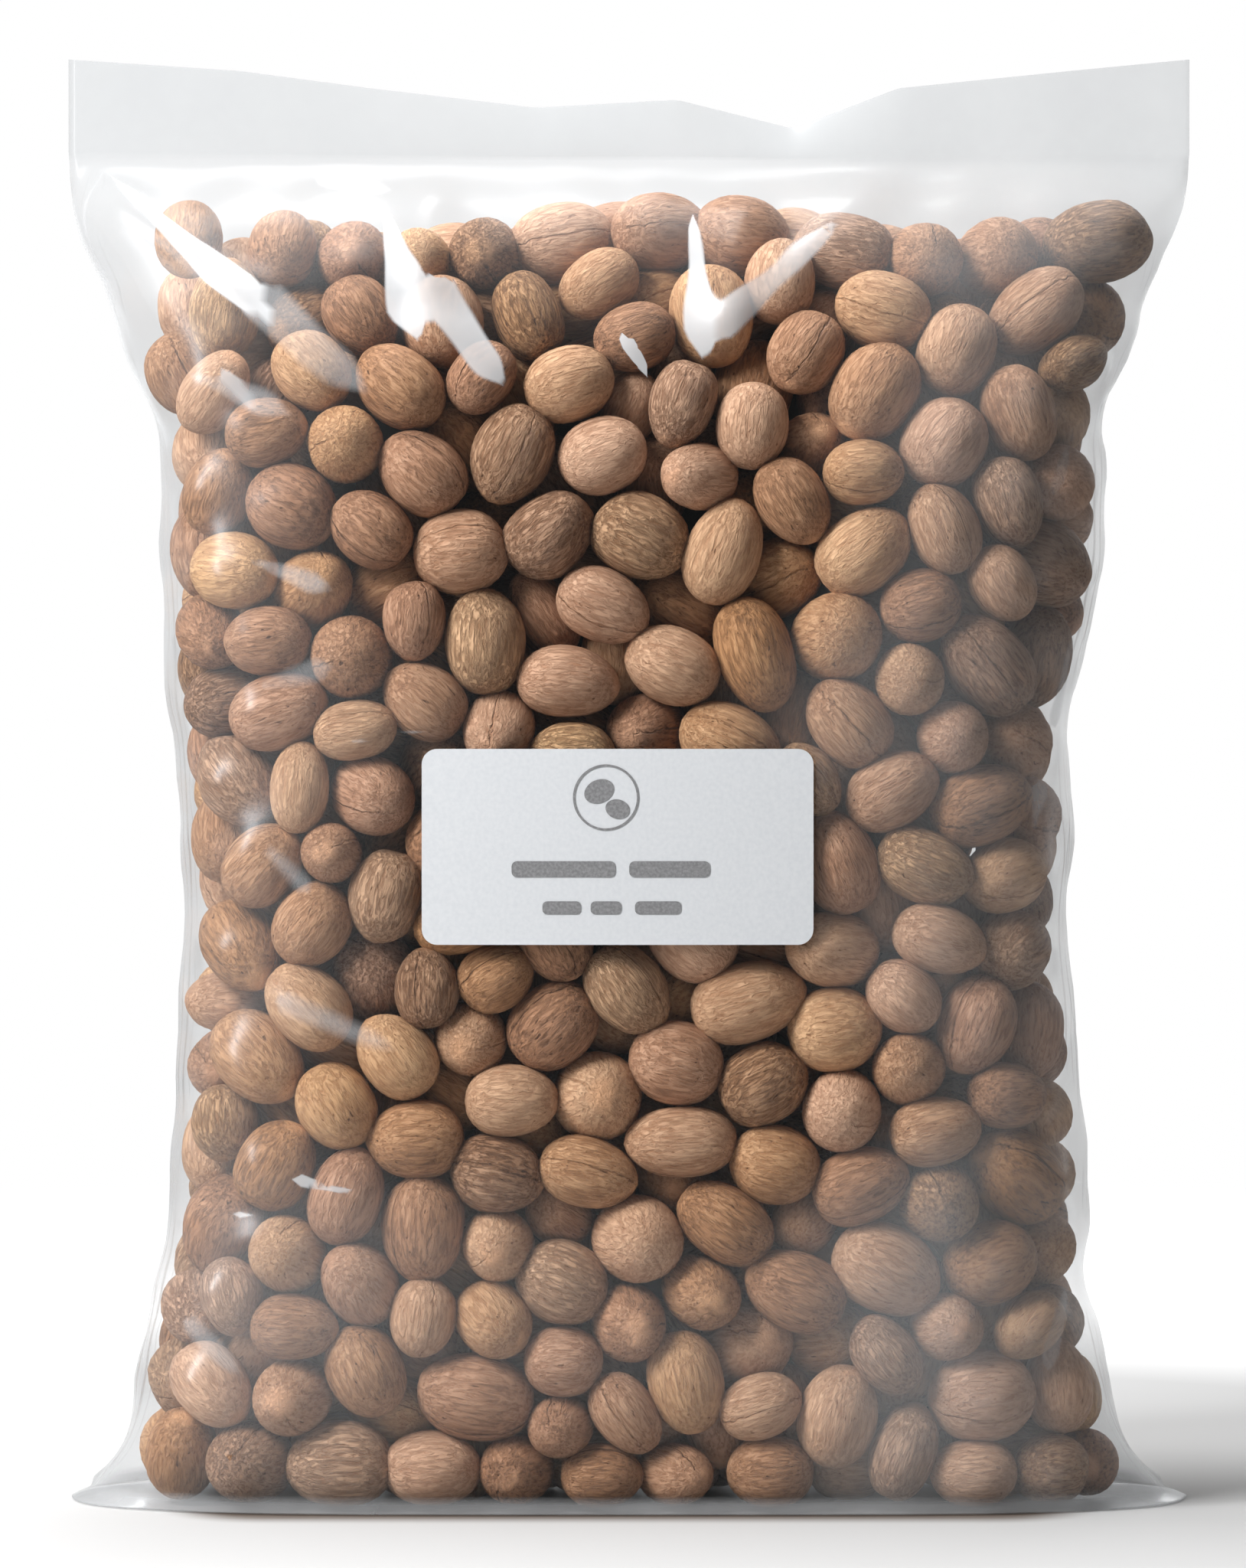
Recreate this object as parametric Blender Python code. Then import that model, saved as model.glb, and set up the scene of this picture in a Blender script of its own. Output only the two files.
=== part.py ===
"""Clear sealed bag full of whole nutmegs, with a plain label, standing on its filled base.

Units are metres, +Z is up and the labelled front faces -Y. The origin is on the
surface the bag stands on, under the middle of the whole pack.

The bag is a flat tube of film: filled at the bottom, pressed flat and sealed at the
top. It is lofted as one solid from level sections whose points keep their place round
the tube, so the same point runs from the base, over the filled body, to the flat top.
"""
import math
import random

import bmesh
import bpy
import numpy as np

# The whole pack
HEIGHT = 0.384              # surface to the two top corners
TOP_REACH = 0.1497          # middle to either edge of the flat sealed top
SEAL_HEIGHT = 0.357         # the front film meets the back film here

# The filled body, up its height: height, reach to -X, reach to +X, half depth
BODY = (
    (0.000, 0.122, 0.121, 0.0385),
    (0.004, 0.127, 0.126, 0.0405),
    (0.012, 0.136, 0.133, 0.0430),
    (0.026, 0.134, 0.131, 0.0445),
    (0.045, 0.131, 0.128, 0.0452),
    (0.058, 0.127, 0.1190, 0.0455),
    (0.072, 0.124, 0.125, 0.0455),
    (0.113, 0.122, 0.121, 0.0455),
    (0.154, 0.1195, 0.1175, 0.0455),
    (0.184, 0.121, 0.120, 0.0455),
    (0.212, 0.124, 0.1160, 0.0455),
    (0.225, 0.125, 0.123, 0.0455),
    (0.257, 0.126, 0.128, 0.0452),
    (0.280, 0.126, 0.129, 0.0442),
    (0.292, 0.1255, 0.1245, 0.0430),
    (0.304, 0.135, 0.134, 0.0400),
    (0.322, 0.140, 0.140, 0.0335),
    (0.338, 0.1445, 0.145, 0.0235),
    (0.349, 0.148, 0.148, 0.0110),
    (0.357, 0.1497, 0.1497, 0.00075),
    (0.384, 0.1497, 0.1497, 0.00075),
)
SIDE_SQUARENESS = 5.0       # power on X in a level section: higher is squarer
FACE_FLATNESS = 2.2         # power on Y

# The top edge dips where the flat film leans back: reach along X, height of the edge
TOP_EDGE = (
    (-0.150, 0.384),
    (-0.104, 0.381),
    (-0.069, 0.3765),
    (-0.025, 0.3715),
    (0.013, 0.3735),
    (0.044, 0.3660),
    (0.072, 0.3765),
    (0.118, 0.381),
    (0.150, 0.384),
)
TOP_LEAN = 0.85             # how far the edge leans back for each unit that it dips

# The bottom corners of the tube, pressed flat on the surface as pointed ears
EAR_THICK = 0.0016
EAR_REACH = 0.1495          # middle to the tip
EAR_HALF_WIDTH = 0.030      # at its root, along Y
EAR_POINT = 1.20            # 1 is a straight-sided triangle, more is rounder
EAR_ROOT_TOP = 0.0040       # the body rises from the ear at this height

# The nutmegs behind the film
NUT_PITCH = 0.0245          # round the tube
NUT_ROW = 0.0205            # between rows, up the bag
NUT_JITTER = 0.0045
CREASE = 0.0040             # how deep the film sinks between two nutmegs
CREASE_RADIUS = 0.0130      # from a nutmeg's middle to the crease
FILL_TOP = 0.338            # the film hangs free above this
FREE_TOP = 0.352            # and shows no nutmegs above this
NUT_SEED = 11

# The mesh
COLUMNS = 72                # points round the tube
LEVEL_STEP = 0.0080         # between levels on the filled body
HEADER_LEVELS = 4           # levels from the seal to the top edge

# The label
LABEL_WIDTH = 0.1016
LABEL_HEIGHT = 0.0508
LABEL_THICK = 0.0005
LABEL_CORNER = 0.0040
LABEL_X = -0.0030
LABEL_Z = 0.1745
LABEL_SEAT = 0.0452         # the film is flat at this distance in front of the middle
LABEL_SURROUND = 0.0096     # the flat place reaches this far past the label
GAP = 0.0003                # between the film and the label


def clear_scene():
    for old in list(bpy.data.objects):
        bpy.data.objects.remove(old)


def finish_material(name, colour, roughness, alpha=1.0):
    """A plain Principled finish."""
    material = bpy.data.materials.new(name)
    material.use_nodes = True
    shader = material.node_tree.nodes["Principled BSDF"]
    shader.inputs["Base Color"].default_value = (*colour, 1.0)
    shader.inputs["Roughness"].default_value = roughness
    shader.inputs["Metallic"].default_value = 0.0
    shader.inputs["Alpha"].default_value = alpha
    material.diffuse_color = (*colour, alpha)
    return material


def level_heights():
    """The ear's two faces, the body in even steps to the seal, then the flat top."""
    body_count = round((SEAL_HEIGHT - EAR_ROOT_TOP) / LEVEL_STEP)
    body = np.linspace(EAR_ROOT_TOP, SEAL_HEIGHT, body_count + 1)
    header = np.linspace(SEAL_HEIGHT, HEIGHT, HEADER_LEVELS + 1)[1:]
    return [0.0, EAR_THICK, *body, *header]


def body_size(height):
    """Reach to -X, reach to +X and half depth of the body at a height."""
    heights, left, right, depth = zip(*BODY)
    return [float(np.interp(height, heights, column)) for column in (left, right, depth)]


def section(height):
    """Points of a level section, evenly spaced round it from its +X end."""
    left, right, depth = body_size(height)
    turn = np.linspace(0.0, 2.0 * math.pi, 2001)
    cosine = np.cos(turn)
    sine = np.sin(turn)
    reach = np.where(cosine < 0.0, left, right)
    x = reach * np.sign(cosine) * np.abs(cosine) ** (2.0 / SIDE_SQUARENESS)
    y = depth * np.sign(sine) * np.abs(sine) ** (2.0 / FACE_FLATNESS)
    walked = np.concatenate(([0.0], np.cumsum(np.hypot(np.diff(x), np.diff(y)))))
    wanted = np.linspace(0.0, walked[-1], COLUMNS + 1)[:-1]
    return np.interp(wanted, walked, x), np.interp(wanted, walked, y), walked[-1]


def nutmeg_places():
    """Middles of the outermost nutmegs, as a place round the tube and a height."""
    rng = random.Random(NUT_SEED)
    around = 2.0 * (TOP_REACH * 2.0)
    per_row = round(around / NUT_PITCH)
    places = []
    for row in range(int(FREE_TOP / NUT_ROW) + 1):
        for slot in range(per_row):
            place = (slot + 0.5 * (row % 2)) / per_row
            place += rng.uniform(-NUT_JITTER, NUT_JITTER) / around
            height = (row + 0.5) * NUT_ROW + rng.uniform(-NUT_JITTER, NUT_JITTER)
            places.append((place, height))
    return np.array(places)


def crease_depth(place, height, girth, nutmegs):
    """How far the film sinks inwards, away from the nearest nutmeg's middle."""
    apart = np.abs(nutmegs[:, 0] - place)
    apart = np.minimum(apart, 1.0 - apart) * girth
    nearest = float(np.min(np.hypot(apart, nutmegs[:, 1] - height)))
    fade = (FREE_TOP - height) / (FREE_TOP - FILL_TOP)
    depth = CREASE * min(1.0, (nearest / CREASE_RADIUS) ** 2)
    return depth * min(1.0, max(0.0, fade))


def ear_outline(x, y):
    """Carry a point of the base out to the ear's edge where the ear reaches past it."""
    across = abs(y) / EAR_HALF_WIDTH
    if across >= 1.0:
        return x
    root = abs(x)
    tip = EAR_REACH - (EAR_REACH - root) * across ** EAR_POINT
    return math.copysign(max(root, tip), x)


def header_point(x, y, height):
    """Bring the flat top up to its dipping edge, leaning back where it dips."""
    share = (height - SEAL_HEIGHT) / (HEIGHT - SEAL_HEIGHT)
    along, edges = zip(*TOP_EDGE)
    edge = float(np.interp(x, along, edges))
    lean = TOP_LEAN * (HEIGHT - edge) * share ** 1.5
    return x, y + lean, SEAL_HEIGHT + share * (edge - SEAL_HEIGHT)


def under_label(x, y, z):
    """Whether a point of the film is behind the label or close round it."""
    beside = abs(x - LABEL_X) < LABEL_WIDTH / 2.0 + LABEL_SURROUND
    level = abs(z - LABEL_Z) < LABEL_HEIGHT / 2.0 + LABEL_SURROUND
    return y < 0.0 and beside and level


def level_points(height, nutmegs):
    """The points of one level, in order round the tube."""
    xs, ys, girth = section(height)
    points = []
    for column in range(COLUMNS):
        x = float(xs[column])
        y = float(ys[column])
        if height <= EAR_THICK:
            points.append((ear_outline(x, y), y, height))
        elif height > SEAL_HEIGHT:
            points.append(header_point(x, y, height))
        elif under_label(x, y, height):
            points.append((x, -LABEL_SEAT, height))
        else:
            before = (column - 1) % COLUMNS
            after = (column + 1) % COLUMNS
            run_x = float(xs[after] - xs[before])
            run_y = float(ys[after] - ys[before])
            run = math.hypot(run_x, run_y)
            sink = crease_depth(column / COLUMNS, height, girth, nutmegs)
            sink *= min(1.0, abs(y) / 0.004 + abs(height - SEAL_HEIGHT) / 0.02)
            points.append((x - sink * run_y / run, y + sink * run_x / run, height))
    return points


def drum(levels):
    """A closed drum with the bag's columns and levels, and its top zipped across."""
    bm = bmesh.new()
    bmesh.ops.create_cone(bm, cap_ends=True, segments=COLUMNS, radius1=1.0, radius2=1.0, depth=1.0)
    uprights = [edge for edge in bm.edges if abs(edge.verts[0].co.z - edge.verts[1].co.z) > 0.5]
    bmesh.ops.subdivide_edges(bm, edges=uprights, cuts=levels - 2, use_grid_fill=True)
    grid = {}
    for vert in bm.verts:
        turn = math.atan2(vert.co.y, vert.co.x) / (2.0 * math.pi)
        column = round(turn * COLUMNS) % COLUMNS
        level = round((vert.co.z + 0.5) * (levels - 1))
        grid[level, column] = vert
    for column in range(1, COLUMNS // 2):
        pair = (grid[levels - 1, column], grid[levels - 1, COLUMNS - column])
        bmesh.ops.connect_vert_pair(bm, verts=pair)
    return bm, grid


def add_object(name, bm, collection, materials):
    mesh = bpy.data.meshes.new(name)
    bm.to_mesh(mesh)
    bm.free()
    for material in materials:
        mesh.materials.append(material)
    piece = bpy.data.objects.new(name, mesh)
    collection.objects.link(piece)
    return piece


def make_bag(collection):
    """The film and its fill as one solid, down to the flat ears and up to the flat top."""
    heights = level_heights()
    nutmegs = nutmeg_places()
    bm, grid = drum(len(heights))
    for level, height in enumerate(heights):
        for column, point in enumerate(level_points(height, nutmegs)):
            grid[level, column].co = point
    bmesh.ops.recalc_face_normals(bm, faces=bm.faces)
    for face in bm.faces:
        middle = face.calc_center_median().z
        face.smooth = True
        face.material_index = 1 if EAR_ROOT_TOP < middle < FILL_TOP else 0
    film = finish_material("clear_film", (0.86, 0.87, 0.88), 0.12, 0.35)
    fill = finish_material("nutmegs_behind_film", (0.33, 0.20, 0.12), 0.45)
    return add_object("bag", bm, collection, (film, fill))


def make_label(collection):
    """A thin card with round corners, standing just clear of the flat film."""
    bm = bmesh.new()
    bmesh.ops.create_cube(bm, size=1.0)
    bmesh.ops.scale(bm, vec=(LABEL_WIDTH, LABEL_THICK, LABEL_HEIGHT), verts=bm.verts)
    corners = [edge for edge in bm.edges if abs(edge.verts[0].co.y - edge.verts[1].co.y) > 0.0001]
    bmesh.ops.bevel(
        bm, geom=corners, offset=LABEL_CORNER, offset_type="OFFSET", segments=6,
        profile=0.5, affect="EDGES", material=-1,
    )
    front = -LABEL_SEAT - GAP - LABEL_THICK / 2.0
    bmesh.ops.translate(bm, vec=(LABEL_X, front, LABEL_Z), verts=bm.verts)
    paper = finish_material("white_label", (0.80, 0.82, 0.85), 0.45)
    return add_object("label", bm, collection, (paper,))


def centre_on_origin(pieces):
    """Put the middle of the pack's box over the origin, keeping its height."""
    points = np.array([vert.co[:] for piece in pieces for vert in piece.data.vertices])
    middle = (points.min(axis=0) + points.max(axis=0)) / 2.0
    for piece in pieces:
        for vert in piece.data.vertices:
            vert.co.x -= middle[0]
            vert.co.y -= middle[1]


def main():
    clear_scene()
    collection = bpy.data.collections.new("nutmeg_bag")
    bpy.context.scene.collection.children.link(collection)
    pieces = [make_bag(collection), make_label(collection)]
    centre_on_origin(pieces)


main()
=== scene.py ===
import math
import random

import bmesh
import bpy
import numpy as np
from mathutils import Matrix, Vector, noise


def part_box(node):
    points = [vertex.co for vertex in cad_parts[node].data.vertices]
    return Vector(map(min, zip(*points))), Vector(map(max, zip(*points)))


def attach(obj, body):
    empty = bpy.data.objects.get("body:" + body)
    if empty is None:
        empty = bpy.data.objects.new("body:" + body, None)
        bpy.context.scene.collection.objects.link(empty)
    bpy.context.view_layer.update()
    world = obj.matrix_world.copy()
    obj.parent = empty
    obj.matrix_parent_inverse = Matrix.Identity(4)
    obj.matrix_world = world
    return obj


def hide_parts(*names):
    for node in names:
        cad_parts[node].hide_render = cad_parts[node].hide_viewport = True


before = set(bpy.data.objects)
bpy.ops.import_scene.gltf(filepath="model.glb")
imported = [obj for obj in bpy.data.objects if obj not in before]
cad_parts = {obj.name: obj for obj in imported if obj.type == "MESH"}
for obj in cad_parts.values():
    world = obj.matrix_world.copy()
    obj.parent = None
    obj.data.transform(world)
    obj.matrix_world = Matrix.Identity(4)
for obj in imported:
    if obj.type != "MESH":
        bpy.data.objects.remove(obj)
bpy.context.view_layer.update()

# Sizes, in metres -------------------------------------------------------------------

BAG_LOW, BAG_HIGH = (Vector(corner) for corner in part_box("bag"))
LABEL_LOW, LABEL_HIGH = (Vector(corner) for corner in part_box("label"))
LABEL_MIDDLE = (LABEL_LOW + LABEL_HIGH) / 2.0
BAG_HEIGHT = BAG_HIGH.z
BAG_REACH = (BAG_HIGH.x - BAG_LOW.x) / 2.0
SEAL_HEIGHT = BAG_HEIGHT - 0.027

# Nutmegs
NUT_HALF_LENGTH = 0.0124
NUT_HALF_WIDTH = 0.0102
NUT_SPREAD = 0.10           # share by which sizes differ
NUT_COUNT = 805
NUT_SEED = 5
SETTLE_ROUNDS = 260
NUT_FULLNESS = 1.035        # cages are this much larger, because smoothing shrinks them
PUSH_SHARE = 0.22           # share of an overlap that each nutmeg gives way in one round
SINK_STEP = 0.00006         # how far nutmegs sink in each round
SIDE_ROOM = 0.0028          # film stands this far out past the nutmegs at each side fold
FACE_ROOM = 0.0010
FLOOR_ROOM = 0.0010
NUT_LOWEST = 0.0007         # nutmegs are pressed flat here, on the base film
AIR_ROOM = 0.0030           # more room under the slack film of the shoulders
AIR_LOW, AIR_HIGH = 0.285, 0.312
SHOWN_DEPTH = 0.040         # nutmegs deeper than this are left to the core
CORE_DEPTH = 0.036          # film to core
FILL_CEILING = 0.3335       # highest middle of a nutmeg

BLUNTNESS = 2.15            # 2 is an ellipse, more has fuller ends

# Film
COLUMNS = 256               # points round the tube
FILM_STEP = 0.0024          # rows of points up it
FILM_GAP = 0.0011           # film to nutmeg
FILM_LIE = 0.0004           # the base film's height over the surface
RELAX_ROUNDS = 150
SEAL_DEPTH = 0.0004         # half the thickness of the flat top

SIDE_SQUARENESS = 5.0
FACE_FLATNESS = 2.2

# Label
LABEL_CORNER = 0.004
LABEL_THICK = 0.00018
PRINT_RISE = 0.00012        # ink in front of the paper
UNDER_LABEL = 0.0005        # film behind the paper's front
PRINT_ROWS = (
    # below the label's middle, height, corner, then each bar's left end and width
    (0.0058, 0.0042, 0.0014, ((-0.0275, 0.0270), (0.0030, 0.0210))),
    (0.0158, 0.0034, 0.0012, ((-0.0195, 0.0100), (-0.0070, 0.0080), (0.0045, 0.0120))),
)


def smooth_step(value, low, high):
    share = np.clip((value - low) / (high - low), 0.0, 1.0)
    return share * share * (3.0 - 2.0 * share)


def cad_profile():
    """Reach to -X, +X and half depth of the CAD bag, read from its mesh up its height."""
    mesh = bpy.data.objects["bag"].data
    points = np.empty(len(mesh.vertices) * 3)
    mesh.vertices.foreach_get("co", points)
    points = points.reshape(-1, 3)
    heights = np.arange(0.004, SEAL_HEIGHT, 0.004)
    rows = []
    for height in heights:
        near = points[np.abs(points[:, 2] - height) < 0.0055]
        half_depth = (near[:, 1].max() - near[:, 1].min()) / 2.0
        rows.append((-near[:, 0].min(), near[:, 0].max(), half_depth))
    rows = np.array(rows)
    kernel = np.array((1.0, 2.0, 3.0, 2.0, 1.0)) / 9.0
    padded = np.pad(rows, ((2, 2), (0, 0)), mode="edge")
    smooth = np.stack([np.convolve(padded[:, k], kernel, "valid") for k in range(3)], axis=1)
    return heights, smooth


PROFILE_HEIGHTS, PROFILE = cad_profile()


def body_size(height):
    """Reach to -X, +X and half depth at one height or an array of them."""
    return tuple(np.interp(height, PROFILE_HEIGHTS, PROFILE[:, k]) for k in range(3))


# Packing the nutmegs ----------------------------------------------------------------

def wall_fit(points, radii):
    """Bring sphere middles back inside the bag's walls, floor and ceiling."""
    x, y, z = points.T
    step = 0.004
    left, right, depth = body_size(z)
    left_up, right_up, depth_up = body_size(z + step)
    side = np.where(x < 0.0, left, right)
    side_slope = (np.where(x < 0.0, left_up, right_up) - side) / step
    depth_slope = (depth_up - depth) / step
    a = side - SIDE_ROOM - radii * np.sqrt(1.0 + np.minimum(side_slope, 0.0) ** 2)
    air = AIR_ROOM * smooth_step(z, AIR_LOW, AIR_HIGH)
    b = depth - FACE_ROOM - air - radii * np.sqrt(1.0 + depth_slope ** 2)
    a = np.maximum(a, 0.02)
    b = np.maximum(b, 0.0015)
    along = np.abs(x) / a
    across = np.abs(y) / b
    excess = along ** 6 + across ** 4 - 1.0
    grad_x = 6.0 * along ** 5 / a
    grad_y = 4.0 * across ** 3 / b
    share = np.where(excess > 0.0, excess / (grad_x ** 2 + grad_y ** 2 + 1e-9), 0.0)
    new_x = x - share * grad_x * np.sign(x)
    new_y = y - share * grad_y * np.sign(y)
    new_z = np.clip(z, radii + FLOOR_ROOM, FILL_CEILING + 0.004 * np.sin(x * 45.0 + 1.0))
    return np.stack((new_x, new_y, new_z), axis=1)


def near_pairs(middles, lengths):
    """Index pairs of nutmegs close enough to touch soon."""
    squares = np.sum(middles ** 2, axis=1)
    apart = squares[:, None] + squares[None, :] - 2.0 * middles @ middles.T
    limit = (lengths[:, None] + lengths[None, :] + 0.004) ** 2
    first, second = np.nonzero(np.triu(apart < limit, 1))
    return first, second


def settle_nutmegs():
    """Grow two-ball nutmegs in the bag, pushing them apart until they hardly overlap."""
    rng = np.random.default_rng(NUT_SEED)
    count = NUT_COUNT
    size = 1.0 + NUT_SPREAD * np.clip(rng.normal(size=count), -2.0, 2.0)
    stretch = 1.0 + 0.06 * np.clip(rng.normal(size=count), -1.6, 1.8)
    widths = NUT_HALF_WIDTH * size / np.sqrt(stretch)
    lengths = np.maximum(NUT_HALF_LENGTH * size * stretch, widths * 1.06)
    middles = np.stack((
        rng.uniform(-0.105, 0.105, count),
        rng.uniform(-0.030, 0.030, count),
        rng.uniform(0.015, FILL_CEILING, count),
    ), axis=1)
    axes = rng.normal(size=(count, 3)) * (1.0, 0.7, 0.8)
    axes /= np.linalg.norm(axes, axis=1)[:, None]
    for turn in range(SETTLE_ROUNDS):
        grown = min(1.0, 0.5 + 0.5 * turn / (0.55 * SETTLE_ROUNDS))
        if turn % 8 == 0:
            first, second = near_pairs(middles, lengths * grown)
        radius = widths * grown
        arm = (lengths - widths) * grown
        shifts = np.zeros((2, count, 3))
        ends = np.stack((middles + axes * arm[:, None], middles - axes * arm[:, None]))
        reach = radius[first] + radius[second]
        for end_a in range(2):
            for end_b in range(2):
                gap = ends[end_a][first] - ends[end_b][second]
                apart = np.sqrt(np.sum(gap ** 2, axis=1)) + 1e-9
                overlap = np.maximum(reach - apart, 0.0)
                push = gap * (PUSH_SHARE * overlap / apart)[:, None]
                for k in range(3):
                    shifts[end_a, :, k] += np.bincount(first, push[:, k], count)
                    shifts[end_b, :, k] -= np.bincount(second, push[:, k], count)
        if turn < 0.8 * SETTLE_ROUNDS:
            shifts[:, :, 2] -= SINK_STEP
        for end in range(2):
            ends[end] = wall_fit(ends[end] + shifts[end], radius)
        middles = (ends[0] + ends[1]) / 2.0
        axes = ends[0] - ends[1]
        axes /= np.linalg.norm(axes, axis=1)[:, None] + 1e-9
    return middles, axes, lengths, widths


def wall_distance(middles):
    """How deep each middle lies behind the nearest stretch of film."""
    x, y, z = middles.T
    left, right, depth = body_size(z)
    side = np.where(x < 0.0, left, right) - SIDE_ROOM
    top = (FILL_CEILING + 0.010 - z) * 0.9
    return np.minimum.reduce((side - np.abs(x), depth - np.abs(y), z, top))


# Nutmeg shapes ------------------------------------------------------------------------

NUT_KINDS = (
    # name, egg taper, nub, furrow, unevenness, flat side
    ("nutmeg_oval", 0.03, 0.02, 0.030, 0.030, 0.02),
    ("nutmeg_round", 0.01, 0.01, 0.020, 0.025, 0.03),
    ("nutmeg_egg", 0.07, 0.04, 0.040, 0.030, 0.03),
    ("nutmeg_long", 0.03, 0.05, 0.050, 0.035, 0.05),
    ("nutmeg_wrinkled", 0.05, 0.04, 0.070, 0.065, 0.06),
)


def nut_cage(taper, nub, furrow):
    """A coarse ball along Z: narrower at the top, with a nub there and a furrow down one side."""
    bm = bmesh.new()
    bmesh.ops.create_uvsphere(bm, u_segments=12, v_segments=8, radius=1.0)
    for vert in bm.verts:
        x, y, z = vert.co
        blunt = (1.0 - min(abs(z), 1.0) ** BLUNTNESS) ** (1.0 / BLUNTNESS)
        width = (1.0 - taper * z) * blunt / max(math.hypot(x, y), 0.001)
        turn = math.atan2(y, x)
        groove = furrow * max(0.0, math.cos(turn)) ** 12 * (1.0 - z ** 4)
        width *= 1.0 - groove
        rise = nub if z > 0.99 else 0.0
        vert.co = (x * width, y * width, z + rise)
    return bm


def place_nutmegs(name, cage, places, uneven, flat, rng):
    """All of this kind's nutmegs, each with its own size, turn and dents."""
    base = bpy.data.meshes.new(name + "_cage")
    cage.to_mesh(base)
    local = np.array([vert.co[:] for vert in base.vertices])
    bm = bmesh.new()
    spot = bm.verts.layers.float_vector.new("nut_place")
    tint = bm.verts.layers.float.new("nut_tint")
    for middle, axis, length, width in places:
        start = len(bm.verts)
        bm.from_mesh(base)
        bm.verts.ensure_lookup_table()
        turn = Vector(axis).to_track_quat("Z", "Y").to_matrix()
        turn = turn @ Matrix.Rotation(rng.uniform(0.0, math.tau), 3, "Z")
        tone = rng.random()
        offset = Vector((rng.uniform(-50, 50), rng.uniform(-50, 50), rng.uniform(-50, 50)))
        squash = 1.0 - flat * rng.random()
        for index, vert in enumerate(bm.verts[start:]):
            point = Vector(local[index])
            dent = 1.0 + uneven * noise.noise(point * 1.6 + offset) * 2.0
            shaped = Vector((
                point.x * width * dent * squash,
                point.y * width * dent / squash ** 0.5,
                point.z * length * dent,
            ))
            vert[spot] = point
            vert[tint] = tone
            vert.co = turn @ (shaped * NUT_FULLNESS) + Vector(middle)
            vert.co.z = max(vert.co.z, NUT_LOWEST)
    smooth_faces(bm)
    bpy.data.meshes.remove(base)
    return bm


def link_object(name, data):
    made = bpy.data.objects.new(name, data)
    bpy.context.scene.collection.objects.link(made)
    return made


def new_object(name, bm, finish):
    """An object with these faces and this finish."""
    mesh = bpy.data.meshes.new(name)
    bm.to_mesh(mesh)
    bm.free()
    mesh.materials.append(finish)
    return link_object(name, mesh)


def add_piece(name, bm, finish):
    piece = new_object(name, bm, finish)
    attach(piece, "root")
    return piece


def smooth_faces(bm):
    for face in bm.faces:
        face.smooth = True


def add_subdivision(piece, levels):
    modifier = piece.modifiers.new("round", "SUBSURF")
    modifier.levels = levels
    modifier.render_levels = levels


def make_nutmegs(settled, finishes):
    middles, axes, lengths, widths = settled
    shown = np.nonzero(wall_distance(middles) < SHOWN_DEPTH)[0]
    print("nutmegs shown:", len(shown))
    rng = random.Random(NUT_SEED)
    groups = [[] for _ in NUT_KINDS]
    slimness = lengths / widths
    for index in shown:
        if slimness[index] > 1.36:
            kind = 3
        elif slimness[index] < 1.14:
            kind = rng.choice((1, 1, 4))
        else:
            kind = rng.choice((0, 0, 2, 2, 4))
        axis = axes[index] * rng.choice((-1.0, 1.0))
        groups[kind].append((middles[index], axis, lengths[index], widths[index]))
    for (name, taper, nub, furrow, uneven, flat), places in zip(NUT_KINDS, groups):
        cage = nut_cage(taper, nub, furrow)
        bm = place_nutmegs(name, cage, places, uneven, flat, rng)
        cage.free()
        finish = finishes["wrinkled" if name.endswith("wrinkled") else "plain"]
        add_subdivision(add_piece(name, bm, finish), 1)


def make_core(finish):
    """A near-black lump in the middle of the fill, behind the nutmegs that show: painted shade for
    the deeper nutmegs.
    """
    bm = bmesh.new()
    bmesh.ops.create_cube(bm, size=2.0)
    bmesh.ops.subdivide_edges(bm, edges=bm.edges, cuts=11, use_grid_fill=True)
    for vert in bm.verts:
        height = 0.024 + (vert.co.z + 1.0) / 2.0 * (FILL_CEILING - 0.050)
        left, right, depth = body_size(height)
        side = (left if vert.co.x < 0.0 else right) - SIDE_ROOM - CORE_DEPTH
        deep = max(0.004, float(depth) - CORE_DEPTH)
        wobble = 1.0 + 0.12 * noise.noise(Vector(vert.co) * 4.0)
        vert.co = (vert.co.x * float(side), vert.co.y * deep * wobble, height)
    smooth_faces(bm)
    add_piece("core", bm, finish)


# The film -----------------------------------------------------------------------------

TOP_EDGE = (
    # along X, height below the top corners
    (-0.15, 0.0),
    (-0.104, 0.003),
    (-0.069, 0.0075),
    (-0.025, 0.0125),
    (0.013, 0.0105),
    (0.044, 0.018),
    (0.072, 0.0075),
    (0.118, 0.003),
    (0.15, 0.0),
)
TOP_LEAN = 0.25
EAR_HALF_WIDTH = 0.030

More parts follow.
